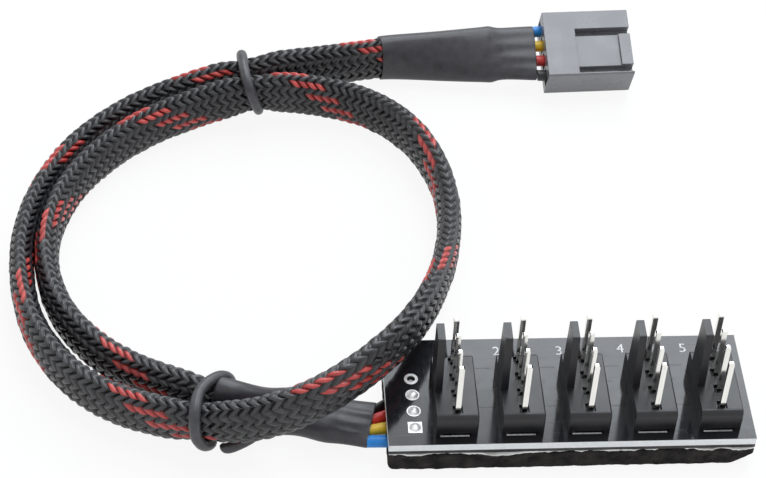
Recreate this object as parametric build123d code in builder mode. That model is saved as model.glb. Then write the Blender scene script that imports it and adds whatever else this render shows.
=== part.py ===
"""A five-way fan hub: a small board on a foam foot, five four-pin headers, and a sleeved lead with its socket.

The board lies along X, the row of headers faces the viewer at -Y, and the foam foot rests on Z = 0.
"""

import os
from math import radians, tan

from build123d import *

# Board, and the layers of the foam foot under it
board_length = 44.3
board_depth = 16.6
board_thickness = 1.2
glue_thickness = 0.45
film_thickness = 0.3
foam_thickness = 2.85
film_inset = 0.15
foam_corner_run = 4.2
foam_corner_rise = 1.9
foam_corner_back = 5.0
film_level = foam_thickness
glue_level = film_level + film_thickness
board_bottom = glue_level + glue_thickness
board_top = board_bottom + board_thickness

# Pins, on the usual pitch for fan headers
pitch = 2.54
pins_per_header = 4
pin_side = 0.64
pin_reach = 10.9
pin_tail = 1.0
pin_point = 0.16
pin_clearance = 0.02
board_hole = 1.0
pin_from_front = 2.65
pin_rows = [pin_from_front - board_depth / 2 + pitch * row for row in range(pins_per_header)]
pin_middle_y = (pin_rows[0] + pin_rows[-1]) / 2

# Header housings: a low base and a lock wall on the side at -X
header_count = 5
header_from_left = 8.23
header_from_right = 4.27
header_pitch = (board_length - header_from_left - header_from_right) / (header_count - 1)
header_columns = [header_from_left - board_length / 2 + header_pitch * column for column in range(header_count)]
pin_places = [(x, y) for x in header_columns for y in pin_rows]
base_width = 5.04
base_length = pitch * pins_per_header
base_height = 3.2
base_end_radius = 0.7
base_edge_radius = 0.2
pocket_side = 1.2
pocket_depth = 0.5
channel_width = 3.5
channel_height = 0.3
wall_thickness = 0.9
wall_height = 8.3
wall_foot_width = 4.2
wall_tip_width = 2.9
wall_corner_radius = 0.35
lock_y = pin_rows[-2]
ridge_height = 5.0
ridge_rise = 1.4
ridge_depth = 0.35

# Solder under the board
solder_radius = 0.85
solder_neck_radius = 0.46
solder_height = 0.6
solder_clearance = 0.25
relief_width = 2 * (solder_radius + solder_clearance)
relief_depth = pin_tail + solder_clearance

# Wire pads at the left end of the board, the last one left open
pad_from_left = 3.29
pad_x = pad_from_left - board_length / 2
pad_places = [(pad_x, y) for y in pin_rows]
pad_diameter = 1.7
pad_thickness = 0.06
pad_hole = 1.0
wire_core = 0.8
cap_rise = 0.28
cap_radius = 0.72
open_pad_depth = 0.5

# Insulated wires at both ends of the lead
wire_diameter = 1.55
board_wire_pitch = 1.7
board_wire_level = 2.3
bared_length = 0.7
board_wire_end_x = pad_x - bared_length
wire_bay_margin = 1.3
wire_bay_drop = 0.3
wire_bay_length = pad_from_left + wire_bay_margin
wire_bay_width = pitch * (pins_per_header - 1) + 2 * wire_bay_margin
wire_bay_floor = board_wire_level - wire_diameter / 2 - wire_bay_drop
socket_wire_pitch = 2.3
socket_wire_gap = 1.1
wire_steps = [row - (pins_per_header - 1) / 2 for row in range(pins_per_header)]

# Socket: it lies tipped up on its front edge, with its mouth towards +X
socket_corner = (4.13, 58.83, 0.0)
socket_heading = 2.4
socket_tip = 21.0
socket_length = 12.2
socket_height = 5.5
socket_width = pitch * pins_per_header
socket_edge = 0.25
cavity_side = 2.1
cavity_centre = 2.6
mouth_wall = 1.3
mouth_hole = 1.1
mouth_lead_in = 0.3
tongue_length = 7.8
tongue_sink = 0.4
lip_length = 1.65
slot_depth = 1.3
front_slot = (0.35, 1.45)
back_slot = (6.3, 7.3)
window_length = 2.0
window_width = 1.3
window_from_mouth = 4.2

# Crimp terminals in the socket
terminal_side = 1.9
terminal_bore = 0.9
terminal_length = 6.0
barrel_diameter = 1.3
barrel_length = 2.0

# Sleeved lead: an oval section on edge, and its route from the socket end to the board end
sleeve_thickness = 3.1
sleeve_height = 6.8
lead_route = [
    (-19.0, 62.6, 3.7),
    (-28.0, 60.3, 4.2),
    (-37.6, 57.6, 5.3),
    (-46.1, 55.3, 4.2),
    (-54.5, 51.2, 3.5),
    (-61.1, 44.5, 3.5),
    (-65.4, 36.3, 3.5),
    (-67.4, 27.2, 3.5),
    (-66.9, 18.2, 3.5),
    (-64.4, 10.2, 3.5),
    (-59.2, 2.8, 3.5),
    (-52.0, -2.0, 4.2),
    (-44.4, -4.6, 5.3),
    (-38.0, -6.0, 7.0),
    (-32.0, -5.6, 9.4),
    (-26.9, -3.0, 10.5),
    (-21.8, 1.5, 10.8),
    (-17.5, 7.8, 9.8),
    (-14.5, 16.1, 7.0),
    (-12.4, 24.6, 4.4),
    (-11.6, 32.9, 3.5),
    (-12.8, 40.7, 3.5),
    (-16.1, 47.8, 3.5),
    (-21.9, 53.0, 3.5),
    (-29.4, 54.6, 4.2),
    (-37.0, 54.2, 5.3),
    (-44.3, 52.4, 4.2),
    (-51.4, 49.3, 3.5),
    (-57.4, 43.9, 3.5),
    (-62.0, 37.0, 3.5),
    (-64.2, 29.2, 3.5),
    (-64.0, 21.4, 3.5),
    (-61.6, 14.2, 3.5),
    (-57.2, 8.4, 3.5),
    (-52.0, 4.2, 3.8),
    (-46.8, 0.85, 4.9),
    (-42.0, -1.25, 5.4),
]
arc_share = 0.45

# Shrink tubes: centre, turn, width and thickness of each section after the one on the sleeve
tube_wall = 0.25
socket_tube_bends = [
    ((-11.5, 62.6, 3.9), 68, 7.2, 3.7),
    ((-4.4, 62.5, 4.2), 42, 7.7, 3.5),
    ((-2.6, 62.5, 4.3), 36, 7.6, 2.9),
]
socket_tube_width = 8.6
socket_tube_thickness = 2.4
board_tube_bends = [
    ((-40.2, -1.95, 5.3), 85, 7.0, 3.6),
    ((-38.0, -2.0, 4.1), 65, 6.3, 3.6),
    ((-35.6, -1.2, 2.9), 44, 5.8, 3.5),
    ((-32.6, -0.5, 2.3), 18, 6.2, 3.4),
    ((-29.0, -1.7, 2.1), 0, 6.9, 3.3),
    ((-27.4, -2.2, 2.1), 0, 6.7, 2.7),
]
board_tube_gap = 1.65
board_tube_end = (-board_length / 2 - board_tube_gap, -3.1, board_wire_level)
board_tube_width = 6.9
board_tube_thickness = 2.2

# Twist ties round both strands of the loop
tie_diameter = 1.5
tie_corner = 2.2
tie_slack = 0.3
top_tie_centre = (-37.3, 55.85, 5.25)
top_tie_heading = 12.0
top_tie_spread = 3.6
bottom_tie_centre = (-43.8, -2.6, 5.3)
bottom_tie_heading = -17.2
bottom_tie_spread = 4.2
tie_tail = 5.2
tie_lean = 0.9


def save(piece, name):
    """Label a finished piece and write it under its own name."""
    piece.label = name
    export_step(piece, f"parts/{name}.step")


def section_plane(centre, along, turn):
    """A plane square to the lead, turned about it so that 90 stands on edge and 0 lies flat."""
    along = Vector(*along).normalized()
    side = Vector(-along.Y, along.X, 0).rotate(Axis((0, 0, 0), along), turn)
    return Plane(origin=centre, x_dir=side, z_dir=along)


os.makedirs("parts", exist_ok=True)

# Circuit board, drilled for the header pins and for the wires
with BuildPart() as board:
    with BuildSketch(Plane.XY.offset(board_bottom)):
        Rectangle(board_length, board_depth)
        with Locations(*pin_places):
            Circle(board_hole / 2, mode=Mode.SUBTRACT)
        with Locations(*pad_places):
            Circle(pad_hole / 2, mode=Mode.SUBTRACT)
    extrude(amount=board_thickness)
save(board.part, "circuit_board")


def foot_layer(level, thickness, inset, pin_floor, wire_floor):
    """One layer of the foot, open where pins, solder and wires stand out under the board."""
    top = level + thickness
    with BuildPart() as layer:
        with BuildSketch(Plane.XY.offset(level)):
            Rectangle(board_length - 2 * inset, board_depth - 2 * inset)
        extrude(amount=thickness)
        with BuildSketch(Plane.XY.offset(top)):
            with Locations(*[(x, pin_middle_y) for x in header_columns]):
                SlotOverall(base_length, relief_width, rotation=90)
        extrude(amount=pin_floor - top, mode=Mode.SUBTRACT)
        with BuildSketch(Plane.XY.offset(top)):
            with Locations((-board_length / 2, pin_middle_y)):
                Rectangle(2 * wire_bay_length, wire_bay_width)
        extrude(amount=wire_floor - top, mode=Mode.SUBTRACT)
    return layer


glue = foot_layer(glue_level, glue_thickness, 0, glue_level, glue_level)
save(glue.part, "glue_layer")
film = foot_layer(film_level, film_thickness, film_inset, film_level, film_level)
save(film.part, "backing_film")

# The foam is trimmed away under its front right corner
with BuildPart() as foam:
    add(foot_layer(0, foam_thickness, 0, board_bottom - relief_depth, wire_bay_floor).part)
    rise = Vector(foam_corner_run, 0, foam_corner_rise)
    run = Vector(foam_corner_run, foam_corner_back, 0)
    start = Vector(board_length / 2 - foam_corner_run, -board_depth / 2, 0)
    split(bisect_by=Plane(origin=start, x_dir=rise, z_dir=run.cross(rise)), keep=Keep.BOTTOM)
save(foam.part, "foam_foot")


def header_housing(x):
    """The moulded body of one header, with its base, pin pockets and lock wall."""
    base_top = board_top + base_height
    places = [(x, y) for y in pin_rows]
    wall_x = x - base_width / 2
    with BuildPart() as housing:
        with BuildSketch(Plane.XY.offset(board_top)):
            with Locations((x, pin_middle_y)):
                Rectangle(base_width, base_length)
        extrude(amount=base_height)
        top_edges = housing.faces().sort_by(Axis.Z)[-1].edges()
        fillet(top_edges.filter_by(Axis.X), base_end_radius)
        right_edges = housing.edges().filter_by(Axis.Y).group_by(Axis.X)[-1]
        fillet(right_edges.sort_by(Axis.Z)[-1], base_edge_radius)
        with BuildSketch(Plane(origin=(wall_x, lock_y, base_top), x_dir=(0, 1, 0), z_dir=(1, 0, 0))):
            with BuildLine():
                Polyline(
                    (-wall_foot_width / 2, -base_end_radius),
                    (-wall_foot_width / 2, 0),
                    (-wall_tip_width / 2, wall_height),
                    (wall_tip_width / 2, wall_height),
                    (wall_foot_width / 2, 0),
                    (wall_foot_width / 2, -base_end_radius),
                    close=True,
                )
            outline = make_face()
            fillet(outline.vertices().sort_by(Axis.Y)[-2:], wall_corner_radius)
        extrude(amount=wall_thickness)
        with BuildSketch(Plane.XZ.offset(-lock_y)):
            with BuildLine():
                face_x = wall_x + wall_thickness
                Polyline(
                    (wall_x + wall_thickness / 2, base_top + ridge_height),
                    (face_x, base_top + ridge_height),
                    (face_x + ridge_depth, base_top + ridge_height + ridge_rise / 3),
                    (face_x, base_top + ridge_height + ridge_rise),
                    (wall_x + wall_thickness / 2, base_top + ridge_height + ridge_rise),
                    close=True,
                )
            make_face()
        extrude(amount=wall_tip_width / 2, both=True)
        with BuildSketch(Plane.XY.offset(base_top)):
            with Locations(*places):
                Rectangle(pocket_side, pocket_side)
        extrude(amount=-pocket_depth, mode=Mode.SUBTRACT)
        with BuildSketch(Plane.XY.offset(board_top)):
            with Locations(*places):
                Rectangle(pin_side + 2 * pin_clearance, pin_side + 2 * pin_clearance)
        extrude(amount=base_height, mode=Mode.SUBTRACT)
        with BuildSketch(Plane.XY.offset(board_top)):
            with Locations((x, pin_middle_y)):
                Rectangle(channel_width, base_length)
        extrude(amount=channel_height, mode=Mode.SUBTRACT)
    return housing


def header_pin(x, y):
    """One square pin, pointed at both ends."""
    with BuildPart() as pin:
        with BuildSketch(Plane.XY.offset(board_bottom - pin_tail)):
            with Locations((x, y)):
                Rectangle(pin_side, pin_side)
        extrude(amount=pin_tail + board_thickness + pin_reach)
        chamfer(pin.faces().sort_by(Axis.Z)[-1].edges(), pin_point)
        chamfer(pin.faces().sort_by(Axis.Z)[0].edges(), pin_point)
    return pin


for column, x in enumerate(header_columns, start=1):
    save(header_housing(x).part, f"header_housing_{column}")
    for row, y in enumerate(pin_rows, start=1):
        save(header_pin(x, y).part, f"header_{column}_pin_{row}")

# Solder round the pin tails, one cone for each pin
with BuildPart() as pin_solder:
    with Locations(*[(x, y, board_bottom) for x, y in pin_places]):
        Cone(
            solder_neck_radius,
            solder_radius,
            solder_height,
            align=(Align.CENTER, Align.CENTER, Align.MAX),
        )
    with BuildSketch(Plane.XY.offset(board_bottom)):
        with Locations(*pin_places):
            Rectangle(pin_side + 2 * pin_clearance, pin_side + 2 * pin_clearance)
    extrude(amount=-solder_height, mode=Mode.SUBTRACT)
save(pin_solder.part, "pin_solder")

# Tinned pads for the wires, the front one square
with BuildPart() as pads:
    with BuildSketch(Plane.XY.offset(board_top)):
        with Locations(pad_places[0]):
            Rectangle(pad_diameter, pad_diameter)
        with Locations(*pad_places[1:]):
            Circle(pad_diameter / 2)
        with Locations(*pad_places):
            Circle(pad_hole / 2, mode=Mode.SUBTRACT)
    extrude(amount=pad_thickness)
save(pads.part, "wire_pads")


def wire_joint(y, filled):
    """Bared wire turned up through the board, soldered below, and capped above where the hole is filled."""
    core = wire_core / 2
    low = board_wire_level - wire_diameter / 2
    cap = board_top + pad_thickness
    with BuildPart() as joint:
        with BuildSketch(Plane.XZ.offset(-y)):
            with BuildLine():
                shank = [
                    (pad_x, low),
                    (pad_x + core, low),
                    (pad_x + core, board_bottom - solder_height),
                    (pad_x + solder_radius, board_bottom),
                    (pad_x + core, board_bottom),
                ]
                if filled:
                    Polyline(*shank, (pad_x + core, cap), (pad_x + cap_radius, cap))
                    TangentArc((pad_x, cap + cap_rise), (pad_x + cap_radius, cap), tangent=(1, 0))
                    Line((pad_x, cap + cap_rise), (pad_x, low))
                else:
                    Polyline(
                        *shank,
                        (pad_x + core, board_top - open_pad_depth),
                        (pad_x, board_top - open_pad_depth),
                        close=True,
                    )
            make_face()
        revolve(axis=Axis((pad_x, y, 0), (0, 0, 1)))
        with BuildSketch(Plane(origin=(board_wire_end_x, y, board_wire_level), z_dir=(1, 0, 0))):
            Circle(core)
        extrude(amount=pad_x - board_wire_end_x)
    return joint


with BuildPart() as wire_solder:
    for y in pin_rows:
        add(wire_joint(y, y < pin_rows[-1]).part)
save(wire_solder.part, "wire_solder")

# Sleeved lead: straight runs joined by tangent arcs
route = [Vector(*point) for point in lead_route]
radii = []
for before, corner, after in zip(route, route[1:], route[2:]):
    half_turn = radians((corner - before).get_angle(after - corner)) / 2
    shorter = min((corner - before).length, (after - corner).length)
    radii.append(arc_share * shorter / tan(half_turn))
with BuildPart() as lead:
    with BuildLine() as lead_line:
        FilletPolyline(*route, radius=radii)
    lead_path = lead_line.wire()
    with BuildSketch(section_plane(lead_path @ 0, lead_path % 0, 0)) as sleeve:
        Ellipse(sleeve_thickness / 2, sleeve_height / 2)
    sweep(path=lead_path)
save(lead.part, "braided_lead")
print("lead length", round(lead_path.length, 1))
print("lead radii", [round(radius, 1) for radius in radii])
print("lead volume", round(lead.part.volume, 1), "of", round(sleeve.sketch.area * lead_path.length, 1))


def shrink_tube(sections):
    """A shrink tube drawn down over the lead, through its oval sections."""
    with BuildPart() as tube:
        for plane, width, thickness in sections:
            with BuildSketch(plane):
                Ellipse(width / 2, thickness / 2)
        loft()
    return tube


def bend_sections(centres, bends):
    """Sections square to the line through their neighbours."""
    sections = []
    for index, (centre, turn, width, thickness) in enumerate(bends, start=1):
        along = Vector(*centres[index + 1]) - Vector(*centres[index - 1])
        sections.append((section_plane(centre, along, turn), width, thickness))
    return sections


sleeve_tube = (sleeve_height + 2 * tube_wall, sleeve_thickness + 2 * tube_wall)

# Socket frame: along its length, across the row of wires, and up through its top
socket_base = Plane(
    origin=socket_corner,
    x_dir=Vector(1, 0, 0).rotate(Axis.Z, socket_heading),
    z_dir=Vector(0, 0, 1).rotate(Axis.X, socket_tip).rotate(Axis.Z, socket_heading),
)


def socket_station(along):
    """A plane across the socket, with X along the row of wires, Y up and its centre on the row."""
    centre = socket_base.from_local_coords((along, socket_width / 2, cavity_centre))
    return Plane(origin=centre, x_dir=socket_base.y_dir, z_dir=socket_base.x_dir)


# Shrink tube at the socket end, turned from on edge to the tip of the socket
tube_end = socket_station(-socket_wire_gap)
centres = [lead_route[0], *[bend[0] for bend in socket_tube_bends], tuple(tube_end.origin)]
socket_tube = shrink_tube(
    [
        (section_plane(route[0], route[0] - route[1], 90), *sleeve_tube),
        *bend_sections(centres, socket_tube_bends),
        (tube_end, socket_tube_width, socket_tube_thickness),
    ]
)
save(socket_tube.part, "socket_shrink_tube")

# Shrink tube at the board end, laid flat before it reaches the board
board_end = section_plane(board_tube_end, Vector(*board_tube_end) - Vector(*board_tube_bends[-1][0]), 0)
centres = [lead_route[-1], *[bend[0] for bend in board_tube_bends], board_tube_end]
board_tube = shrink_tube(
    [
        (section_plane(route[-1], route[-1] - route[-2], 90), *sleeve_tube),
        *bend_sections(centres, board_tube_bends),
        (board_end, board_tube_width, board_tube_thickness),
    ]
)
save(board_tube.part, "board_shrink_tube")

# Wires from the board tube to the pads, front to back
for row, (step, color) in enumerate(zip(wire_steps, ["blue", "yellow", "red", "black"])):
    with BuildPart() as wire:
        with BuildSketch(board_end):
            with Locations((step * board_wire_pitch, 0)):
                Circle(wire_diameter / 2)
        with BuildSketch(Plane(origin=(board_wire_end_x, pin_rows[row], board_wire_level), z_dir=(1, 0, 0))):
            Circle(wire_diameter / 2)
        loft()
    save(wire.part, f"board_wire_{color}")

# Socket housing
socket_top = socket_base.offset(socket_height)
cell_steps = [(step * pitch, 0) for step in wire_steps]
with BuildPart() as socket:
    with BuildSketch(socket_base):
        Rectangle(socket_length, socket_width, align=(Align.MIN, Align.MIN))
    extrude(amount=socket_height)
    fillet(socket.edges().filter_by(Axis(socket_corner, socket_base.x_dir)), socket_edge)
    with BuildSketch(socket_top):
        for low, high in (front_slot, back_slot):
            with Locations((socket_length, low)):
                Rectangle(tongue_length, high - low, align=(Align.MAX, Align.MIN))
    extrude(amount=-slot_depth, mode=Mode.SUBTRACT)
    with BuildSketch(socket_top):
        with Locations((socket_length - lip_length, front_slot[1])):
            Rectangle(tongue_length - lip_length, back_slot[0] - front_slot[1], align=(Align.MAX, Align.MIN))
    extrude(amount=-tongue_sink, mode=Mode.SUBTRACT)
    with BuildSketch(socket_station(0)):
        with Locations(*cell_steps):
            Rectangle(cavity_side, cavity_side)
    extrude(amount=socket_length - mouth_wall, mode=Mode.SUBTRACT)
    with BuildSketch(socket_station(0)):
        with Locations(*cell_steps):
            Rectangle(mouth_hole, mouth_hole)
    extrude(amount=socket_length, mode=Mode.SUBTRACT)
    with BuildSketch(socket_station(socket_length)):
        with Locations(*cell_steps):
            Rectangle(mouth_hole + 2 * mouth_lead_in, mouth_hole + 2 * mouth_lead_in)
    extrude(amount=-mouth_lead_in, taper=45, mode=Mode.SUBTRACT)
    with BuildSketch(socket_base):
        for step in wire_steps:
            with Locations((socket_length - window_from_mouth, socket_width / 2 + step * pitch)):
                Rectangle(window_length, window_width)
    extrude(amount=cavity_centre, mode=Mode.SUBTRACT)
save(socket.part, "socket_housing")

# Crimp terminals and the wires that run back from them, front to back
terminal_end = socket_length - mouth_wall
barrel_end = terminal_end - terminal_length - barrel_length
for step, color in zip(wire_steps, ["black", "red", "yellow", "blue"]):
    with BuildPart() as terminal:
        with BuildSketch(socket_station(barrel_end + barrel_length)):
            with Locations((step * pitch, 0)):
                Rectangle(terminal_side, terminal_side)
                Rectangle(terminal_bore, terminal_bore, mode=Mode.SUBTRACT)
        extrude(amount=terminal_length)
        with BuildSketch(socket_station(barrel_end)):
            with Locations((step * pitch, 0)):
                Circle(barrel_diameter / 2)
        extrude(amount=barrel_length)
    save(terminal.part, f"terminal_{color}")
    with BuildPart() as wire:
        with BuildSketch(tube_end):
            with Locations((step * socket_wire_pitch, 0)):
                Circle(wire_diameter / 2)
        with BuildSketch(socket_station(barrel_end)):
            with Locations((step * pitch, 0)):
                Circle(wire_diameter / 2)
        loft()
    save(wire.part, f"socket_wire_{color}")


def tie_plane(centre, heading):
    """A plane square to the strands, with X towards the back and Y up."""
    along = Vector(1, 0, 0).rotate(Axis.Z, heading)
    return Plane(origin=centre, x_dir=Vector(0, 1, 0).rotate(Axis.Z, heading), z_dir=along)


def tie_reach(spread):
    """Half width and half height of a tie's centre line round two strands."""
    half_width = (spread + sleeve_thickness + tie_diameter) / 2 + tie_slack
    half_height = (sleeve_height + tie_diameter) / 2 + tie_slack
    return half_width, half_height


# Top tie, a closed ring
across, upright = tie_reach(top_tie_spread)
with BuildPart() as top_tie:
    with BuildLine(tie_plane(top_tie_centre, top_tie_heading)) as ring:
        FilletPolyline(
            (-across, -upright),
            (across, -upright),
            (across, upright),
            (-across, upright),
            radius=tie_corner,
            close=True,
        )
    with BuildSketch(Plane(origin=ring.wire() @ 0, z_dir=ring.wire() % 0)):
        Circle(tie_diameter / 2)
    sweep(path=ring.wire())
save(top_tie.part, "top_tie")

# Bottom tie, one loose turn with its tail out at the front
across, upright = tie_reach(bottom_tie_spread)
turn = tie_plane(bottom_tie_centre, bottom_tie_heading)
with BuildPart() as bottom_tie:
    with BuildLine() as coil:
        FilletPolyline(
            turn.from_local_coords((-across / 2, -upright, tie_tail - tie_lean)),
            turn.from_local_coords((-across, -upright, -tie_lean)),
            turn.from_local_coords((-across, upright, -tie_lean)),
            turn.from_local_coords((across, upright, tie_lean)),
            turn.from_local_coords((across, -upright, tie_lean)),
            turn.from_local_coords((0, -upright, 2 * tie_lean)),
            radius=tie_corner,
        )
    with BuildSketch(Plane(origin=coil.wire() @ 0, z_dir=coil.wire() % 0)):
        Circle(tie_diameter / 2)
    sweep(path=coil.wire())
save(bottom_tie.part, "bottom_tie")
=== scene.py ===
import bpy
import math
import numpy as np
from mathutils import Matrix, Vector, noise


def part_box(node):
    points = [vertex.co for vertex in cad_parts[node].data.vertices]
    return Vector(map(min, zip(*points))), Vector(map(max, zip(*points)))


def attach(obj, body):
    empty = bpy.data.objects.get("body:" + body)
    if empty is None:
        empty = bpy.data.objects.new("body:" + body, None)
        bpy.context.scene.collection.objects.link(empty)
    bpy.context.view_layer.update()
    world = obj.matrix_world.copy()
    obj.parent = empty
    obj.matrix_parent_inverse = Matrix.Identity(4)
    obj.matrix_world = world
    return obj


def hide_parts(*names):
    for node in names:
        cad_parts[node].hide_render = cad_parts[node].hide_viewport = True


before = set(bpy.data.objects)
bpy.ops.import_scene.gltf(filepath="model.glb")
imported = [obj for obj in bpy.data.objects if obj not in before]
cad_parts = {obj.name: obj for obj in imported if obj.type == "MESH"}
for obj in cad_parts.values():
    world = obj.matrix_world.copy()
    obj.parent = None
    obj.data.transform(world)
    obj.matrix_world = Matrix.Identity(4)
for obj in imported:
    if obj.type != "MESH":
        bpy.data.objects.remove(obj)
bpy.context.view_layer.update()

# Foam foot: a strip of black closed-cell foam, cut with a knife and stuck under the board.
# Its cut sides are rough with opened cells, and its front right corner has been trimmed away.
mm = 0.001


def only(piece):
    """Selects one object and makes it the active one."""
    bpy.ops.object.select_all(action="DESELECT")
    piece.select_set(True)
    bpy.context.view_layer.objects.active = piece


def put(name, data):
    """A new object in the scene for a mesh, curve, lamp or camera."""
    piece = bpy.data.objects.new(name, data)
    bpy.context.collection.objects.link(piece)
    return piece


def copy_of(node_name, name):
    """A new piece that starts from a CAD node's mesh, with its loose triangles merged into faces."""
    piece = put(name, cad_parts[node_name].data.copy())
    piece.data.materials.clear()
    only(piece)
    bpy.ops.mesh.customdata_custom_splitnormals_clear()
    bpy.ops.object.mode_set(mode="EDIT")
    bpy.ops.mesh.select_all(action="SELECT")
    bpy.ops.mesh.remove_doubles(threshold=0.002 * mm)
    bpy.ops.mesh.dissolve_limited(angle_limit=math.radians(1))
    bpy.ops.object.mode_set(mode="OBJECT")
    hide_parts(node_name)
    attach(piece, "root")
    return piece


def apply(piece, kind, **settings):
    """Adds one modifier to a piece and applies it."""
    only(piece)
    modifier = piece.modifiers.new(kind, kind)
    for setting, value in settings.items():
        setattr(modifier, setting, value)
    bpy.ops.object.modifier_apply(modifier=modifier.name)


def finish_of(name, color, roughness, **sockets):
    """A new material on the principled shader, with the values that are the same all over."""
    material = bpy.data.materials.new(name)
    material.use_nodes = True
    shader = material.node_tree.nodes["Principled BSDF"]
    shader.inputs["Base Color"].default_value = (*color, 1)
    shader.inputs["Roughness"].default_value = roughness
    for socket, value in sockets.items():
        shader.inputs[socket.replace("_", " ")].default_value = value
    return material, material.node_tree, shader


def node(tree, kind, inputs=None, **settings):
    """Adds a node with its settings, and joins or sets its inputs by name or number."""
    made = tree.nodes.new("ShaderNode" + kind)
    for setting, value in settings.items():
        setattr(made, setting, value)
    for key, value in (inputs or {}).items():
        if isinstance(value, bpy.types.NodeSocket):
            tree.links.new(value, made.inputs[key])
        else:
            made.inputs[key].default_value = value
    return made


def grain(tree, scale, detail=3.0):
    """A noise pattern on the piece's own coordinates, in steps of 1 / scale metres."""
    where = node(tree, "TexCoord").outputs["Object"]
    return node(tree, "TexNoise", {"Vector": where, "Scale": scale, "Detail": detail}).outputs[0]


def ramp(tree, pattern, span, low, high):
    """A colour that goes from low to high over a span of a pattern."""
    made = node(tree, "ValToRGB", {"Fac": pattern})
    for element, place, color in zip(made.color_ramp.elements, span, (low, high)):
        element.position = place
        element.color = (*color, 1)
    return made.outputs["Color"]


def vary(tree, shader, socket, pattern, span, low, high):
    """Lets a pattern move one of the shader's inputs from low to high."""
    tree.links.new(ramp(tree, pattern, span, low, high), shader.inputs[socket])


def bump(tree, shader, height, strength, distance, below=None):
    """Adds relief to a shader, over any relief that it already has."""
    made = node(tree, "Bump", {"Height": height, "Strength": strength, "Distance": distance})
    if below is not None:
        tree.links.new(below.outputs["Normal"], made.inputs["Normal"])
    tree.links.new(made.outputs["Normal"], shader.inputs["Normal"])
    return made


def dress(piece, material):
    """Gives a piece its material."""
    piece.data.materials.clear()
    piece.data.materials.append(material)


foam_black, tree, shader = finish_of("foam_black", (0.02, 0.018, 0.018), 0.95, Specular_IOR_Level=0.2)
cells = node(tree, "TexVoronoi", {"Vector": node(tree, "TexCoord").outputs["Object"], "Scale": 3600.0})
mottle = grain(tree, 700.0)
vary(tree, shader, "Base Color", mottle, (0.35, 0.75), (0.012, 0.011, 0.011), (0.045, 0.04, 0.038))
pores = bump(tree, shader, cells.outputs["Distance"], 0.8, 0.12 * mm)
bump(tree, shader, mottle, 0.5, 0.2 * mm, pores)

foam_low, foam_high = (Vector(corner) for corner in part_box("foam_foot"))
trim_start = foam_high.x - 4.25 * mm
trim_shift = 1.6 * mm
left_rounding = 0.9 * mm
close_by = 0.05 * mm
foam = copy_of("foam_foot", "foam_foot_cut")
for corner in foam.data.vertices:
    at_front = corner.co.y < foam_low.y + close_by
    at_bottom = corner.co.z < foam_low.z + close_by
    if corner.co.x > trim_start and at_front and at_bottom:
        corner.co.x += trim_shift
bpy.ops.object.mode_set(mode="EDIT")
bpy.ops.mesh.select_mode(type="EDGE")
bpy.ops.mesh.select_all(action="DESELECT")
bpy.ops.object.mode_set(mode="OBJECT")
for edge in foam.data.edges:
    ends = [foam.data.vertices[index].co for index in edge.vertices]
    edge.select = all(end.x < foam_low.x + close_by and end.z < foam_low.z + close_by for end in ends)
bpy.ops.object.mode_set(mode="EDIT")
bpy.ops.mesh.bevel(offset=left_rounding, segments=5)
bpy.ops.object.mode_set(mode="OBJECT")
apply(foam, "REMESH", mode="VOXEL", voxel_size=0.17 * mm)
cut_marks = bpy.data.textures.new("cut_marks", "CLOUDS")
cut_marks.noise_scale = 1.1 * mm
cut_marks.noise_depth = 3
apply(foam, "DISPLACE", texture=cut_marks, texture_coords="LOCAL", strength=0.26 * mm, mid_level=0.5)
apply(foam, "SMOOTH", factor=0.5, iterations=2)
only(foam)
bpy.ops.object.shade_smooth()
dress(foam, foam_black)


# Backing film: the white liner of the foam tape, left on under the board's glue.
# It is thin plastic film, torn along its edges, so it shows as an uneven white line.
def settle(piece):
    """Moves a piece's place, turn and size into its mesh."""
    only(piece)
    bpy.ops.object.transform_apply(location=True, rotation=True, scale=True)


film_low, film_high = (Vector(corner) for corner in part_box("backing_film"))
film_thickness = 0.24 * mm
bay_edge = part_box("circuit_board")[0][0] + 4.6 * mm
bay_front, bay_back = -6.95 * mm, 3.27 * mm
torn_width = 0.6 * mm
torn_out = 0.2 * mm
torn_depth = 0.32 * mm
torn_lift = 0.17 * mm
fine_tears, coarse_tears, film_waves = 420, 130, 210
bpy.ops.object.select_all(action="DESELECT")
bpy.ops.mesh.primitive_grid_add(x_subdivisions=220, y_subdivisions=84, size=1)
film = bpy.context.object
film.name = "backing_film_torn"
film.scale = (film_high.x - film_low.x, film_high.y - film_low.y, 1)
film.location = (film_low + film_high) / 2
settle(film)
bpy.ops.object.mode_set(mode="EDIT")
bpy.ops.mesh.select_mode(type="FACE")
bpy.ops.mesh.select_all(action="DESELECT")
bpy.ops.object.mode_set(mode="OBJECT")
for face in film.data.polygons:
    face.select = face.center.x < bay_edge and bay_front < face.center.y < bay_back
bpy.ops.object.mode_set(mode="EDIT")
bpy.ops.mesh.delete(type="FACE")
bpy.ops.object.mode_set(mode="OBJECT")
for vertex in film.data.vertices:
    place = vertex.co
    for axis in (0, 1):
        edge = min(place[axis] - film_low[axis], film_high[axis] - place[axis])
        if edge < torn_width:
            share = 1 - edge / torn_width
            outward = math.copysign(1, place[axis])
            tear = noise.fractal(place * fine_tears, 0.7, 2.1, 5) + 0.9 * noise.noise(place * coarse_tears)
            place[axis] += outward * (torn_out + torn_depth * tear) * share
            place.z += torn_lift * noise.noise(place * film_waves) * share
apply(film, "SOLIDIFY", thickness=film_thickness, offset=0)
only(film)
bpy.ops.object.shade_smooth_by_angle(angle=math.radians(50))
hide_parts("backing_film")
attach(film, "root")

film_white, tree, shader = finish_of("film_white", (0.78, 0.78, 0.76), 0.5)
smudge = grain(tree, 500.0)
vary(tree, shader, "Base Color", smudge, (0.45, 0.75), (0.86, 0.86, 0.85), (0.5, 0.49, 0.48))
bump(tree, shader, smudge, 0.3, 0.1 * mm)
dress(film, film_white)

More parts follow.
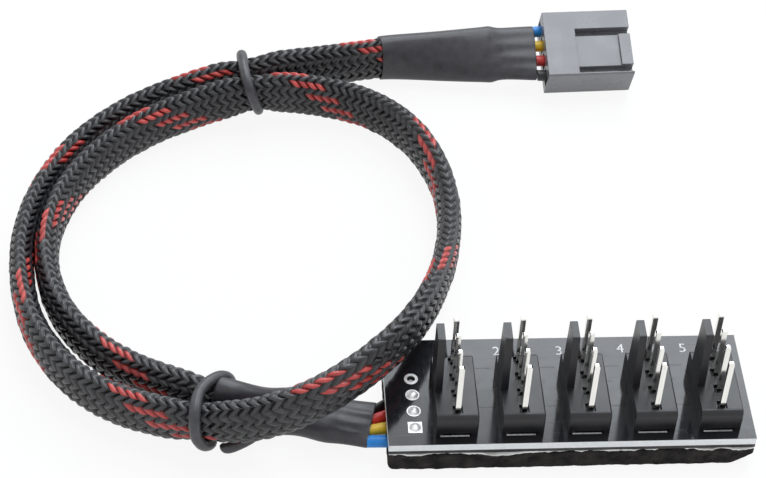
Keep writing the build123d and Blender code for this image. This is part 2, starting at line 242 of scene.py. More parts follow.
# Glue layer: black double-sided tape between the film and the board.
# Its edge is tacky and a little uneven, and holds dust.
glue_black, tree, shader = finish_of("glue_black", (0.012, 0.012, 0.013), 0.55)
strings = grain(tree, 900.0)
vary(tree, shader, "Base Color", strings, (0.45, 0.8), (0.01, 0.01, 0.011), (0.05, 0.05, 0.05))
bump(tree, shader, strings, 0.6, 0.15 * mm)
dress(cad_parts["glue_layer"], glue_black)


# Circuit board: glass-fibre sheet with a glossy black solder mask on both faces.
# Its sawn edge shows the pale fibre between the two black skins,
# and the copper under the mask lifts it a little.
def sums(tree, kind, *values):
    """One step of arithmetic on patterns and numbers."""
    return node(tree, "Math", dict(enumerate(values)), operation=kind).outputs[0]


def mix(tree, share, first, second):
    """The first colour where the share is nought, and the second where it is one."""
    return node(tree, "Mix", {0: share, 6: first, 7: second}, data_type="RGBA").outputs[2]


def grey(level):
    """A colour with the same level of red, green and blue."""
    return (level, level, level)


board_low, board_high = (Vector(corner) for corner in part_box("circuit_board"))
mask_skin = 0.07 * mm
edge_skin = 0.02 * mm
mask_black, tree, shader = finish_of("mask_black", (0.012, 0.012, 0.014), 0.1, IOR=1.44)
where = node(tree, "SeparateXYZ", {0: node(tree, "TexCoord").outputs["Object"]}).outputs
upright = node(tree, "SeparateXYZ", {0: node(tree, "NewGeometry").outputs["True Normal"]}).outputs["Z"]
flat = sums(tree, "COMPARE", upright, 0.0, 0.5)
within_ends = sums(tree, "COMPARE", where["X"], 0.0, board_high.x - edge_skin)
within_sides = sums(tree, "COMPARE", where["Y"], 0.0, board_high.y - edge_skin)
inside = sums(tree, "MULTIPLY", within_ends, within_sides)
outline = sums(tree, "SUBTRACT", 1.0, inside)
above = sums(tree, "GREATER_THAN", where["Z"], board_low.z + mask_skin)
below = sums(tree, "LESS_THAN", where["Z"], board_high.z - mask_skin)
core = sums(tree, "MULTIPLY", above, below)
sawn = sums(tree, "MULTIPLY", sums(tree, "MULTIPLY", flat, core), outline)
fibre = ramp(tree, grain(tree, 1500.0, 4.0), (0.3, 0.75), (0.86, 0.89, 0.91), (0.96, 0.97, 0.98))
skin = ramp(tree, grain(tree, 160.0), (0.3, 0.8), (0.009, 0.009, 0.011), (0.022, 0.022, 0.025))
tree.links.new(mix(tree, sawn, skin, fibre), shader.inputs["Base Color"])
haze = ramp(tree, grain(tree, 420.0, 5.0), (0.35, 0.8), grey(0.07), grey(0.16))
tree.links.new(mix(tree, sawn, haze, (*grey(0.7), 1)), shader.inputs["Roughness"])
on_board = node(tree, "TexCoord").outputs["Object"]
copper = node(tree, "TexBrick", {"Vector": on_board, "Scale": 145.0, "Mortar Size": 0.012})
relief = bump(tree, shader, copper.outputs["Fac"], 0.06, 0.05 * mm)
bump(tree, shader, grain(tree, 300.0), 0.03, 0.2 * mm, relief)
dress(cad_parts["circuit_board"], mask_black)

# Print on the board: a number behind each header, in white ink. The white bar at the foot of each header
# is painted highlight: it stands for the bright line of light seen at the foot of the base's front.
# The ink is a thin film on the mask, and its edges are a little soft.
ink_and_highlight_white, tree, shader = finish_of("ink_and_highlight_white", (0.75, 0.76, 0.78), 0.6)
speckle = grain(tree, 2400.0)
vary(tree, shader, "Base Color", speckle, (0.3, 0.6), (0.45, 0.46, 0.48), (0.8, 0.81, 0.83))
columns = range(1, 6)
mark_level = board_high.z + 0.012 * mm
number_places = [(-15.4, 6.3), (-8.0, 6.2), (-0.2, 6.1), (7.5, 6.3), (15.3, 6.2)]
number_size = 2.0 * mm
bar_size = Vector((3.5, 0.2, 0.016)) * mm
bar_left = 0.26 * mm
bar_y = -7.05 * mm
for column, (x, y) in zip(columns, number_places):
    bpy.ops.object.select_all(action="DESELECT")
    bpy.ops.object.text_add(location=(x * mm, y * mm, mark_level))
    number = bpy.context.object
    number.data.body = str(column)
    number.data.size = number_size
    number.data.align_x = "CENTER"
    number.data.align_y = "CENTER"
    number.data.extrude = 0.008 * mm
    bpy.ops.object.convert(target="MESH")
    settle(number)
    number.name = f"printed_number_{column}"
    dress(number, ink_and_highlight_white)
    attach(number, "root")


def flat_block(name, place, size, edge, segments):
    """A thin block on the board with softened edges."""
    bpy.ops.object.select_all(action="DESELECT")
    bpy.ops.mesh.primitive_cube_add(size=1, location=place)
    block = bpy.context.object
    block.name = name
    block.scale = size
    settle(block)
    apply(block, "BEVEL", width=edge, segments=segments)
    return block


# Each bar is painted highlight, not print: a white mark for the light seen at the foot of the base's
# front.
for column in columns:
    header_low, header_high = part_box(f"header_housing_{column}")
    bar_x = (header_low[0] + header_high[0]) / 2 - bar_left
    bar = flat_block(f"painted_highlight_bar_{column}", (bar_x, bar_y, mark_level), bar_size, 0.006 * mm, 2)
    dress(bar, ink_and_highlight_white)
    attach(bar, "root")

# Tracks and plated holes: copper under the mask shows as low ridges, and tented holes as dark specks.
# Short runs of track show between the headers, and are as black as the rest.
tented_black, tree, shader = finish_of("tented_black", (0.006, 0.006, 0.007), 0.3)
pits = grain(tree, 3000.0)
vary(tree, shader, "Base Color", pits, (0.3, 0.7), (0.003, 0.003, 0.004), (0.012, 0.012, 0.014))
hole_places = [(-10.7, 1.15), (-2.6, 1.2), (5.5, 1.1), (13.4, 1.3)]
hole_radius = 0.19 * mm
hole_rise = 0.02 * mm
for index, (x, y) in enumerate(hole_places, start=1):
    place = (x * mm, y * mm, board_high.z)
    bpy.ops.object.select_all(action="DESELECT")
    bpy.ops.mesh.primitive_cylinder_add(vertices=24, radius=hole_radius, depth=hole_rise, location=place)
    speck = bpy.context.object
    speck.name = f"tented_hole_{index}"
    settle(speck)
    apply(speck, "BEVEL", width=0.006 * mm, segments=2)
    dress(speck, tented_black)
    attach(speck, "root")
track_rise = 0.05
track_runs = [
    (-10.2, -2.6, 2.4, 0.22), (-2.2, -2.6, 2.2, 0.22), (5.8, -2.7, 2.2, 0.22), (13.8, -2.7, 2.4, 0.22),
    (-10.9, -0.4, 0.16, 2.2), (-2.9, -0.4, 0.16, 2.2), (5.1, -0.4, 0.16, 2.2), (13.1, -0.4, 0.16, 2.2),
    (-10.3, 3.6, 2.6, 0.18), (-2.4, 3.6, 2.6, 0.18), (5.6, 3.6, 2.6, 0.18), (13.5, 3.6, 2.6, 0.18),
]
for index, (x, y, length, width) in enumerate(track_runs, start=1):
    track_size = Vector((length, width, track_rise)) * mm
    track = flat_block(f"track_{index}", (x * mm, y * mm, board_high.z), track_size, 0.02 * mm, 3)
    dress(track, mask_black)
    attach(track, "root")


# Header housings: moulded black nylon, each with a low base, four pin pockets and a lock wall.
# The mould leaves soft edges and a faint grain on the faces.
def soften_mould(piece, edge):
    """Rounds the sharp edges of a moulding and smooths its curved faces."""
    apply(piece, "BEVEL", width=edge, segments=3, limit_method="ANGLE", angle_limit=math.radians(40))
    only(piece)
    bpy.ops.object.shade_smooth_by_angle(angle=math.radians(40))
    apply(piece, "WEIGHTED_NORMAL", keep_sharp=True)


nylon_black, tree, shader = finish_of("nylon_black", (0.018, 0.018, 0.021), 0.28, IOR=1.48)
flow = grain(tree, 350.0, 4.0)
vary(tree, shader, "Base Color", flow, (0.3, 0.75), (0.008, 0.008, 0.01), (0.016, 0.016, 0.019))
vary(tree, shader, "Roughness", flow, (0.3, 0.8), grey(0.3), grey(0.42))
bump(tree, shader, grain(tree, 2600.0), 0.12, 0.05 * mm)
for column in columns:
    housing = copy_of(f"header_housing_{column}", f"header_body_{column}")
    soften_mould(housing, 0.11 * mm)
    dress(housing, nylon_black)

# Header pins: square brass wire, tin plated, pushed through the housings and soldered under the board.
# The plate is bright, with faint drawing lines along each pin.
pin_tin, tree, shader = finish_of("pin_tin", (0.86, 0.85, 0.81), 0.2, Metallic=1.0)
on_pin = node(tree, "TexCoord").outputs["Object"]
stretched = node(tree, "Mapping", {"Vector": on_pin, "Scale": (9000.0, 9000.0, 300.0)}).outputs[0]
drawn = node(tree, "TexNoise", {"Vector": stretched, "Scale": 1.0, "Detail": 3.0}).outputs[0]
vary(tree, shader, "Base Color", drawn, (0.3, 0.8), (0.78, 0.77, 0.73), (0.93, 0.92, 0.89))
vary(tree, shader, "Roughness", drawn, (0.3, 0.8), grey(0.07), grey(0.16))
bump(tree, shader, drawn, 0.1, 0.03 * mm)
for column in columns:
    for row in range(1, 5):
        dress(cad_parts[f"header_{column}_pin_{row}"], pin_tin)

# Solder and pads: tinned pads at the wire end, with domes of solder over three of the holes.
# The solder is bright and slightly rippled where it froze, and more of it holds the pins under the board.
solder_tin, tree, shader = finish_of("solder_tin", (0.88, 0.88, 0.87), 0.4, Metallic=0.4)
frozen = grain(tree, 1900.0, 4.0)
vary(tree, shader, "Base Color", frozen, (0.35, 0.7), (0.8, 0.8, 0.8), (0.95, 0.95, 0.94))
vary(tree, shader, "Roughness", frozen, (0.3, 0.8), grey(0.3), grey(0.5))
bump(tree, shader, frozen, 0.35, 0.1 * mm)
for name in ("pin_solder", "wire_pads", "wire_solder"):
    dress(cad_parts[name], solder_tin)

# Wires: stranded copper in coloured insulation, four at each end of the lead.
# The insulation is a soft satin plastic, a little deeper in colour where it is scuffed.
wire_colors = {
    "black": (0.015, 0.015, 0.016),
    "red": (0.74, 0.05, 0.045),
    "yellow": (0.92, 0.6, 0.03),
    "blue": (0.012, 0.27, 0.8),
}
scuffed_share = 0.82
for name, color in wire_colors.items():
    insulation, tree, shader = finish_of(f"wire_{name}", color, 0.38)
    scuffs = grain(tree, 1400.0)
    deep = tuple(part * scuffed_share for part in color)
    vary(tree, shader, "Base Color", scuffs, (0.3, 0.7), deep, color)
    bump(tree, shader, scuffs, 0.1, 0.05 * mm)
    for end in ("board", "socket"):
        dress(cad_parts[f"{end}_wire_{name}"], insulation)

# Shrink tubes: dark heat-shrink drawn down over the cut ends of the sleeve and over the wires.
# Each turns with the flat lead and shows the four wires as ribs at its narrow end.
# It is matt, with fine creases.
shrink_grey, tree, shader = finish_of("shrink_grey", (0.05, 0.049, 0.055), 0.5)
skin = grain(tree, 800.0, 5.0)
vary(tree, shader, "Base Color", skin, (0.3, 0.75), (0.026, 0.025, 0.03), (0.052, 0.05, 0.059))
vary(tree, shader, "Roughness", skin, (0.3, 0.8), grey(0.36), grey(0.52))
creases = bump(tree, shader, grain(tree, 260.0, 4.0), 0.35, 0.25 * mm)
bump(tree, shader, grain(tree, 4200.0), 0.12, 0.04 * mm, creases)
wire_count = len(wire_colors)
tube_fullness = 0.85
rim_share = 0.9
throat_share = 0.86
throat_depth = 1.2 * mm


def fuller(value, power):
    """A sine or cosine drawn towards the corners of a flattened round section."""
    return math.copysign(abs(value) ** power, value)


def oval_ring(centre, along, turn, width, thickness, ribs, count=48):
    """Points round one flattened section, square to the tube, with the ribs of four wires."""
    along = Vector(along).normalized()
    side = Vector((-along.y, along.x, 0)).normalized()
    up = along.cross(side)
    turn = math.radians(turn)
    across = side * math.cos(turn) + up * math.sin(turn)
    through = up * math.cos(turn) - side * math.sin(turn)
    points = []
    for step in range(count):
        angle = 2 * math.pi * step / count
        x = fuller(math.cos(angle), tube_fullness)
        y = fuller(math.sin(angle), tube_fullness)
        dip = 0.5 + 0.5 * math.cos(2 * math.pi * wire_count * (x + 1) / 2)
        y *= 1 - ribs * dip * (1 - x * x)
        points.append(Vector(centre) + across * (x * width / 2) + through * (y * thickness / 2))
    return [point * mm for point in points]


def face_outwards(piece):
    """Turns a closed mesh's faces outwards and smooths it."""
    only(piece)
    bpy.ops.object.mode_set(mode="EDIT")
    bpy.ops.mesh.select_all(action="SELECT")
    bpy.ops.mesh.normals_make_consistent(inside=False)
    bpy.ops.object.mode_set(mode="OBJECT")
    bpy.ops.object.shade_smooth()


def shrink_tube(name, node_name, sections):
    """A closed tube through listed sections, with a turned-in rim at each end."""
    centres = [Vector(section[0]) for section in sections]
    rings = []
    for index, (centre, turn, width, thickness, ribs) in enumerate(sections):
        before = centres[max(index - 1, 0)]
        after = centres[min(index + 1, len(centres) - 1)]
        rings.append(oval_ring(centre, after - before, turn, width, thickness, ribs))
    first, last = rings[0], rings[-1]
    for ring, inner, at_end in ((first, rings[1], False), (last, rings[-2], True)):
        middle = sum(ring, Vector()) / len(ring)
        inwards = (sum(inner, Vector()) / len(inner) - middle).normalized()
        rim = [middle + (point - middle) * rim_share for point in ring]
        throat = [middle + (point - middle) * throat_share + inwards * throat_depth for point in ring]
        if at_end:
            rings += [rim, throat]
        else:
            rings = [throat, rim] + rings
    count = len(first)
    faces = []
    for index in range(len(rings) - 1):
        start, end = index * count, (index + 1) * count
        for step in range(count):
            beside = (step + 1) % count
            faces.append((start + step, start + beside, end + beside, end + step))
    faces.append(tuple(reversed(range(count))))
    faces.append(tuple(range((len(rings) - 1) * count, len(rings) * count)))
    mesh = bpy.data.meshes.new(name)
    mesh.from_pydata([point for ring in rings for point in ring], [], faces)
    tube = put(name, mesh)
    apply(tube, "SUBSURF", levels=2, render_levels=2)
    face_outwards(tube)
    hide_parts(node_name)
    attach(tube, "root")
    dress(tube, shrink_grey)
    return tube


shrink_tube(
    "board_tube_shrunk",
    "board_shrink_tube",
    [
        ((-42.3, -1.1, 5.4), 90, 7.2, 3.7, 0.0),
        ((-42.0, -1.25, 5.4), 90, 7.2, 3.7, 0.0),
        ((-40.2, -1.95, 5.3), 85, 7.0, 3.6, 0.0),
        ((-38.0, -2.0, 4.1), 65, 6.3, 3.6, 0.0),
        ((-35.6, -1.2, 2.9), 44, 5.8, 3.5, 0.0),
        ((-32.6, -0.5, 2.3), 18, 6.2, 3.4, 0.0),
        ((-29.6, -1.5, 2.12), 3, 6.8, 3.4, 0.0),
        ((-28.4, -1.95, 2.1), 0, 6.9, 3.2, 0.05),
        ((-27.4, -2.2, 2.1), 0, 6.6, 2.6, 0.12),
        ((-25.8, -2.6, 2.2), 0, 6.7, 2.3, 0.16),
        ((-24.1, -3.03, 2.3), 0, 6.9, 2.2, 0.18),
        ((-23.8, -3.1, 2.3), 0, 6.9, 2.2, 0.18),
    ],
)
socket_tube = shrink_tube(
    "socket_tube_shrunk",
    "socket_shrink_tube",
    [
        ((-19.3, 62.52, 3.7), 90, 7.2, 3.8, 0.0),
        ((-19.0, 62.6, 3.7), 90, 7.2, 3.8, 0.0),
        ((-17.0, 62.75, 3.75), 85, 7.1, 3.8, 0.0),
        ((-11.5, 62.6, 3.9), 68, 7.2, 3.7, 0.0),
        ((-7.0, 62.55, 4.1), 52, 7.6, 3.7, 0.0),
        ((-4.2, 62.55, 4.2), 41, 7.9, 3.6, 0.0),
        ((-3.5, 62.55, 4.25), 39, 8.2, 3.5, 0.03),
        ((-2.5, 62.55, 4.3), 35, 7.4, 2.9, 0.1),
        ((-0.4, 62.6, 4.35), 28, 7.8, 2.6, 0.16),
        ((2.5, 62.65, 4.3), 21, 8.5, 2.4, 0.18),
        ((2.87, 62.65, 4.3), 21, 8.5, 2.4, 0.18),
    ],
)

# Braided lead: a flat braided sleeve over four wires, on edge and coiled, tied in two places.
# Yarns cross two over and two under in rows of slanted stitches, and a few neighbouring yarns are red.
lead_route = [
    (-42.0, -1.25, 5.4),
    (-46.8, 0.85, 4.9),
    (-52.0, 4.2, 3.8),
    (-57.2, 8.4, 3.5),
    (-61.6, 14.2, 3.5),
    (-64.0, 21.4, 3.5),
    (-64.2, 29.2, 3.5),
    (-62.0, 37.0, 3.5),
    (-57.4, 43.9, 3.5),
    (-51.4, 49.3, 3.5),
    (-44.3, 52.4, 4.2),
    (-37.0, 54.2, 5.3),
    (-29.4, 54.6, 4.2),
    (-21.9, 53.0, 3.5),
    (-16.1, 47.8, 3.5),
    (-12.8, 40.7, 3.5),
    (-11.6, 32.9, 3.5),
    (-12.4, 24.6, 4.4),
    (-14.5, 16.1, 7.0),
    (-17.5, 7.8, 9.8),
    (-21.8, 1.5, 10.8),
    (-26.9, -3.0, 10.5),
    (-32.0, -5.6, 9.4),
    (-38.0, -6.0, 7.0),
    (-44.4, -4.6, 5.3),
    (-52.0, -2.0, 4.2),
    (-59.2, 2.8, 3.5),
    (-64.4, 10.2, 3.5),
    (-66.9, 18.2, 3.5),
    (-67.4, 27.2, 3.5),
    (-65.4, 36.3, 3.5),
    (-61.1, 44.5, 3.5),
    (-54.5, 51.2, 3.5),
    (-46.1, 55.3, 4.2),
    (-37.6, 57.6, 5.3),
    (-28.0, 60.3, 4.2),
    (-19.0, 62.6, 3.7),
]


def bent_line(name, points, closed, resolution):
    """A smooth curve along listed points, given in millimetres."""
    line = bpy.data.curves.new(name, "CURVE")
    line.dimensions = "3D"
    spline = line.splines.new("NURBS")
    spline.points.add(len(points) - 1)
    for knot, point in zip(spline.points, points):
        knot.co = (*(part * mm for part in point), 1)
    spline.order_u = 3
    spline.use_cyclic_u = closed
    spline.use_endpoint_u = not closed
    spline.resolution_u = resolution
    return line


holder = bpy.data.objects.new("lead_line", bent_line("lead_line", lead_route, False, 32))
mesh = bpy.data.meshes.new_from_object(holder)
lead_line = np.array([vertex.co[:] for vertex in mesh.vertices])
bpy.data.objects.remove(holder)
bpy.data.meshes.remove(mesh)
steps = np.linalg.norm(np.diff(lead_line, axis=0), axis=1)
reach = np.concatenate([[0], np.cumsum(steps)])
lead_length = float(reach[-1])
heading = np.gradient(lead_line, reach, axis=0)
heading /= np.linalg.norm(heading, axis=1)[:, None]
sideways = np.stack([-heading[:, 1], heading[:, 0], np.zeros(len(heading))], axis=1)
sideways /= np.linalg.norm(sideways, axis=1)[:, None]
upwards = np.cross(heading, sideways)

# Stitches of the sleeve: each row of the braid is a line of slanted stitches round a full oval.
# The braid has crept along the wires here and there, so its stitches aren't evenly spaced.
rows = 18
stitch = 1.36 * mm
slant = 0.76
across_row = 4
along_stitch = 6
sleeve_thickness, sleeve_height = 3.0 * mm, 6.7 * mm
sleeve_fullness = 0.9
rounds = int(lead_length / stitch) + 5
turn = np.linspace(0, 2 * np.pi, 721) - np.pi / 2
oval = np.stack(
    [
        np.sign(np.cos(turn)) * np.abs(np.cos(turn)) ** sleeve_fullness * sleeve_thickness / 2,
        np.sign(np.sin(turn)) * np.abs(np.sin(turn)) ** sleeve_fullness * sleeve_height / 2,
    ],
    axis=1,
)
girth = np.concatenate([[0], np.cumsum(np.linalg.norm(np.diff(oval, axis=0), axis=1))])
around = np.arange(rows * across_row) / across_row
ring = np.stack([np.interp(around / rows * girth[-1], girth, oval[:, part]) for part in (0, 1)], axis=1)
face_on = np.roll(ring, -1, axis=0) - np.roll(ring, 1, axis=0)
face_on = np.stack([face_on[:, 1], -face_on[:, 0]], axis=1)
face_on /= np.linalg.norm(face_on, axis=1)[:, None]
zigzag = slant * np.abs((around + 1) % 2 - 1)
phase = np.arange(rounds * along_stitch + 1) / along_stitch - 2
along = (phase[:, None] + zigzag[None, :] - 0.5) * stitch
crept_at = np.array([0, 13, 40, 66, 90, 109, 136, 160, 184, 211, 235, 262, 287]) * mm
crept = np.array([1.0, 1.0, 1.2, 0.1, -2.3, -4.6, -0.5, 3.2, 3.0, 2.2, 1.0, 1.2, 0.3]) * mm
along = np.clip(along + np.interp(along, crept_at, crept), 0, lead_length)
crown = np.array([-0.62, -0.06, 0.05, 0.08, 0.05, -0.06]) * mm
row_edge = np.array([-0.06, 0.0, 0.02, 0.0]) * mm
rng = np.random.default_rng(7)
uneven = rng.normal(0, 0.025 * mm, (rounds + 1, rows))
lift_along = crown[np.arange(len(phase)) % along_stitch]
lift_across = row_edge[np.arange(len(around)) % across_row]
lift = lift_along[:, None] + lift_across[None, :]
lift = lift + uneven[np.arange(len(phase)) // along_stitch][:, np.floor(around).astype(int)]


def at(values):
    """A value along the lead, at every point of the sleeve."""
    return np.stack([np.interp(along, reach, values[:, part]) for part in range(3)], axis=2)


top_tie_centre = (-37.3, 55.85, 5.25)
bottom_pinch = (-43.8, -2.6, 5.3)
tied_at = np.array([top_tie_centre, bottom_pinch]) * mm
tied_reach = 1.8 * mm
tied_fade = 1.5 * mm
tied_share = 0.17
away = [np.linalg.norm((lead_line - spot)[:, :2], axis=1) - tied_reach for spot in tied_at]
near = np.clip(np.min(away, axis=0), 0, None)
pinch = 1 - tied_share * np.exp(-((near / tied_fade) ** 2))
held = np.interp(along, reach, pinch)
wide = ring[None, :, 0] + lift * face_on[None, :, 0]
tall = ring[None, :, 1] * held + lift * face_on[None, :, 1]
points = at(lead_line) + at(sideways) * wide[:, :, None] + at(upwards) * tall[:, :, None]
corners = np.arange(len(phase) * len(around)).reshape(len(phase), len(around))
after = np.roll(corners, -1, axis=1)
faces = np.stack([corners[:-1], after[:-1], after[1:], corners[1:]], axis=2).reshape(-1, 4)
caps = [corners[0][::-1].tolist(), corners[-1].tolist()]
mesh = bpy.data.meshes.new("braided_sleeve")
mesh.from_pydata(points.reshape(-1, 3).tolist(), [], faces.tolist() + caps)
braid = put("braided_sleeve", mesh)
stitch_map = mesh.uv_layers.new(name="stitches")
u = np.broadcast_to(phase[:, None], corners.shape)
v = np.broadcast_to(around[None, :], corners.shape)
v_after = v + 1 / across_row
face_corners = ((u[:-1], v[:-1]), (u[:-1], v_after[:-1]), (u[1:], v_after[1:]), (u[1:], v[1:]))
places = np.stack([np.stack(corner, axis=2) for corner in face_corners], axis=2).reshape(-1, 2)
flat_map = np.zeros((len(mesh.loops), 2))
flat_map[: len(places)] = places
stitch_map.data.foreach_set("uv", flat_map.ravel())
face_outwards(braid)

# Yarn of the sleeve: shiny black multifilament, with four red yarns side by side on one of the two slants.
# The colour carries painted shade: near black in the gaps beside the stitches, darker towards each
# stitch's ends and each row's edges, and dark red in the gaps of the red yarns. Filaments show as fine
# ridges along each stitch.
carriers = 18.0
red_carriers = 4
filament_count = 5
yarn, tree, shader = finish_of("braid_yarn", (0.025, 0.025, 0.028), 0.28, IOR=1.52)
stitches = node(tree, "SeparateXYZ", {0: node(tree, "UVMap", uv_map="stitches").outputs[0]}).outputs
count_along = sums(tree, "FLOOR", stitches["X"])
in_stitch = sums(tree, "FRACT", stitches["X"])
row_number = sums(tree, "FLOOR", stitches["Y"])
in_row = sums(tree, "FRACT", stitches["Y"])
even_row = sums(tree, "LESS_THAN", sums(tree, "MODULO", row_number, 2.0), 0.5)
spiral = sums(tree, "ADD", sums(tree, "SUBTRACT", count_along, row_number), 2 * carriers)
carrier = sums(tree, "MODULO", spiral, carriers)
tracer = sums(tree, "MULTIPLY", sums(tree, "LESS_THAN", carrier, red_carriers - 0.5), even_row)
ripple = sums(tree, "SINE", sums(tree, "MULTIPLY", in_stitch, filament_count * math.pi))
filaments = sums(tree, "ABSOLUTE", ripple)


def hump(place):
    """A pattern that is nought at both ends of a stitch or row and one half way."""
    return sums(tree, "MULTIPLY", sums(tree, "MULTIPLY", sums(tree, "SUBTRACT", 1.0, place), place), 4.0)


# Painted shade: the yarn colour fades to the gap colour towards each stitch's ends and each row's edges.
stitch_end_shading = ramp(tree, hump(in_stitch), (0.3, 0.8), grey(0), grey(1))
row_edge_shading = ramp(tree, hump(in_row), (0.04, 0.5), grey(0.4), grey(1))
unshaded_share = sums(tree, "MULTIPLY", stitch_end_shading, row_edge_shading)
stitch_number = node(tree, "CombineXYZ", {0: count_along, 1: row_number}).outputs[0]
chance = node(tree, "TexWhiteNoise", {"Vector": stitch_number}).outputs[0]
black_yarn = ramp(tree, chance, (0.0, 1.0), (0.018, 0.018, 0.021), (0.05, 0.05, 0.056))
red_yarn = ramp(tree, chance, (0.0, 1.0), (0.46, 0.045, 0.042), (0.66, 0.09, 0.08))
yarns = mix(tree, tracer, black_yarn, red_yarn)
# The gap colours are painted shade: near black between black yarns, and dark red between red yarns.
gap_shade_colors = mix(tree, tracer, (0.003, 0.003, 0.004, 1), (0.24, 0.016, 0.013, 1))
tree.links.new(mix(tree, unshaded_share, gap_shade_colors, yarns), shader.inputs["Base Color"])
ridges = bump(tree, shader, filaments, 0.35, 0.05 * mm)
bump(tree, shader, grain(tree, 6000.0), 0.1, 0.03 * mm, ridges)
dress(braid, yarn)
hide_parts("braided_lead")
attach(braid, "root")

# Twist ties: soft wire in a thick grey plastic coat, bent by hand round both strands.
# The top one is a closed ring, and the bottom one a loose turn with its tail left out at the front.
tie_grey, tree, shader = finish_of("tie_grey", (0.07, 0.07, 0.076), 0.42)
coat = grain(tree, 900.0)
vary(tree, shader, "Base Color", coat, (0.3, 0.75), (0.038, 0.038, 0.044), (0.075, 0.075, 0.085))
bump(tree, shader, coat, 0.2, 0.08 * mm)
tie_radius = 0.7 * mm
tie_end_share = 0.45
tie_end_rounding = 0.45 * mm


def tie(name, node_name, points, closed):
    """A bent rod of coated wire on a given line, with rounded ends."""
    line = bent_line(name, points, closed, 10)
    line.bevel_depth = tie_radius
    line.bevel_resolution = 5
    line.use_fill_caps = True
    knots = line.splines[0].points
    if not closed:
        knots[0].radius = tie_end_share
        knots[-1].radius = tie_end_share
    rod = put(name, line)
    only(rod)
    bpy.ops.object.convert(target="MESH")
    rod = bpy.context.object
    sharp = math.radians(60)
    apply(rod, "BEVEL", width=tie_end_rounding, segments=5, limit_method="ANGLE", angle_limit=sharp)
    only(rod)
    bpy.ops.object.shade_smooth_by_angle(angle=sharp)
    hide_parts(node_name)
    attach(rod, "root")
    dress(rod, tie_grey)
    return rod


def round_strands(centre, heading, spots):
    """Places on a line round the strands, towards the back, up and along from a centre."""
    turn = math.radians(heading)
    forward = Vector((math.cos(turn), math.sin(turn), 0))
    back = Vector((-math.sin(turn), math.cos(turn), 0))
    rise = Vector((0, 0, 1))
    return [Vector(centre) + back * side + rise * up + forward * along for side, up, along in spots]


top_tie = tie(
    "top_tie_bent",
    "top_tie",
    round_strands(
        top_tie_centre,
        12.0,
        [
            (-3.65, -1.6, 0.0), (-2.4, -3.15, 0.4), (-0.6, -3.6, 0.6), (1.5, -3.6, 0.5), (3.4, -2.9, 0.1),
            (4.05, -0.8, -0.3), (3.9, 1.5, -0.6), (2.9, 3.0, -0.8), (1.2, 3.55, -1.0), (-0.8, 3.65, -1.3),
            (-2.9, 3.55, -1.45), (-3.9, 2.3, -1.2), (-4.0, 0.2, -0.6),
        ],
    ),
    True,
)
bottom_tie = tie(
    "bottom_tie_bent",
    "bottom_tie",
    round_strands(
        (-43.5, -2.65, 5.3),
        -17.2,
        [
            (-0.6, -3.7, 0.7), (-1.6, -3.65, 0.95), (-2.7, -3.25, 0.9), (-3.8, -2.2, 0.4),
            (-4.35, -0.4, -0.2), (-4.4, 1.6, -0.35), (-3.8, 3.2, -0.5), (-2.2, 3.75, -0.8),
            (-0.4, 3.7, -0.9), (1.2, 3.6, -0.4), (2.6, 3.3, 0.4), (3.5, 2.6, 1.1),
            (4.25, 1.2, 1.5), (4.4, -1.2, 1.8), (3.4, -3.4, 2.7), (1.7, -4.0, 4.0),
            (0.5, -3.7, 5.1), (-0.2, -3.0, 5.6), (-0.9, -2.95, 5.15), (-1.5, -3.3, 4.3),
            (-2.15, -3.6, 3.3), (-2.3, -3.6, 2.6), (-2.0, -3.5, 2.2),
        ],
    ),
    False,
)

# Socket housing: a four-way fan socket in moulded dark grey nylon, lying tipped on its front edge.
# Two slots and a sunk tongue on its top take the lock wall of a header.
socket_nylon, tree, shader = finish_of("socket_nylon", (0.23, 0.235, 0.25), 0.32, IOR=1.55)
flow = grain(tree, 300.0, 4.0)
vary(tree, shader, "Base Color", flow, (0.3, 0.75), (0.147, 0.15, 0.162), (0.192, 0.196, 0.211))
vary(tree, shader, "Roughness", flow, (0.3, 0.8), grey(0.24), grey(0.38))
bump(tree, shader, grain(tree, 2400.0), 0.12, 0.05 * mm)
socket = copy_of("socket_housing", "socket_body")
soften_mould(socket, 0.1 * mm)
dress(socket, socket_nylon)

# Crimp terminals: folded tin-plated brass, one in each cell of the socket.
# They show as dull metal in the mouth and through the lock windows.
terminal_tin, tree, shader = finish_of("terminal_tin", (0.78, 0.76, 0.7), 0.3, Metallic=1.0)
pressed = grain(tree, 1500.0)
vary(tree, shader, "Base Color", pressed, (0.3, 0.75), (0.68, 0.66, 0.6), (0.86, 0.85, 0.8))
bump(tree, shader, pressed, 0.15, 0.05 * mm)
for name in wire_colors:
    dress(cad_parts[f"terminal_{name}"], terminal_tin)

on_the_lead = [socket_tube, socket, top_tie, bottom_tie]
on_the_lead += [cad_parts[f"socket_wire_{name}"] for name in wire_colors]
on_the_lead += [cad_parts[f"terminal_{name}"] for name in wire_colors]


# Studio: a white table in even light, with a broad soft light behind that the flat tops mirror.
# The camera stands where the photograph was taken.
def looked_at(tree):
    """One on rays from the camera, off shiny faces and through clear ones, and nought on the others."""
    rays = node(tree, "LightPath").outputs
    seen = sums(tree, "MAXIMUM", rays["Is Camera Ray"], rays["Is Glossy Ray"])
    return sums(tree, "MAXIMUM", seen, rays["Is Transmission Ray"])


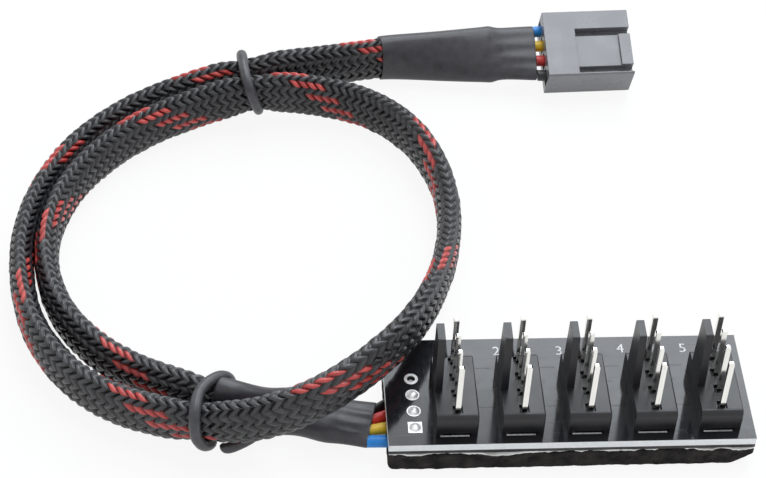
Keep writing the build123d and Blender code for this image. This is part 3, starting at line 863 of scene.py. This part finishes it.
floor_white = bpy.data.materials.new("floor_white")
floor_white.use_nodes = True
tree = floor_white.node_tree
tree.nodes.clear()
lit = node(tree, "BsdfDiffuse", {"Color": (0.9, 0.9, 0.9, 1)})
glow = node(tree, "Emission", {"Color": (1, 1, 1, 1), "Strength": 1.0})
glow_share = sums(tree, "MULTIPLY", looked_at(tree), 0.9)
mixed = node(tree, "MixShader", {0: glow_share, 1: lit.outputs[0], 2: glow.outputs[0]})
node(tree, "OutputMaterial", {0: mixed.outputs[0]})
bpy.ops.object.select_all(action="DESELECT")
bpy.ops.mesh.primitive_plane_add(size=6, location=(0, 0, -0.2 * mm))
floor = bpy.context.object
floor.name = "floor"
floor.data.materials.append(floor_white)

world = bpy.data.worlds.new("studio")
bpy.context.scene.world = world
world.use_nodes = True
tree = world.node_tree
tree.nodes.clear()
strength = node(tree, "Mix", {0: looked_at(tree), 2: 0.55, 3: 1.0}, data_type="FLOAT").outputs[0]
sky = node(tree, "Background", {"Color": (1, 1, 1, 1), "Strength": strength})
node(tree, "OutputWorld", {0: sky.outputs[0]})


def soft_light(name, place, aim, size, power):
    """A rectangular soft light at a place, turned to face a point."""
    lamp = bpy.data.lights.new(name, "AREA")
    lamp.shape = "RECTANGLE"
    lamp.size, lamp.size_y = size
    lamp.energy = power
    lamp.color = (0.88, 0.94, 1.0)
    stand = put(name, lamp)
    stand.location = place
    stand.rotation_euler = (Vector(aim) - Vector(place)).to_track_quat("-Z", "Y").to_euler()


soft_light("back_light", (0.15, 0.63, 0.545), (0, 0, 0), (0.55, 0.3), 1.95)
soft_light("high_light", (0.13, 0.5, 0.66), (0, 0, 0), (0.6, 0.42), 1.9)
soft_light("top_light", (0.13, 0.16, 0.86), (0, 0.05, 0), (0.3, 0.3), 2.0)
soft_light("right_light", (0.6, 0.2, 0.42), (0, 0.03, 0), (0.3, 0.3), 0.9)

camera = bpy.data.cameras.new("camera")
camera.sensor_width = 36
camera.lens = 104.664
camera.clip_start = 0.01
tripod = put("camera", camera)
tripod.location = (-0.040777, -0.174323, 0.211148)
tripod.rotation_euler = tuple(math.radians(part) for part in (44.2273, -2.2883, -3.3275))
bpy.context.scene.camera = tripod
bpy.context.scene.view_settings.view_transform = "Standard"
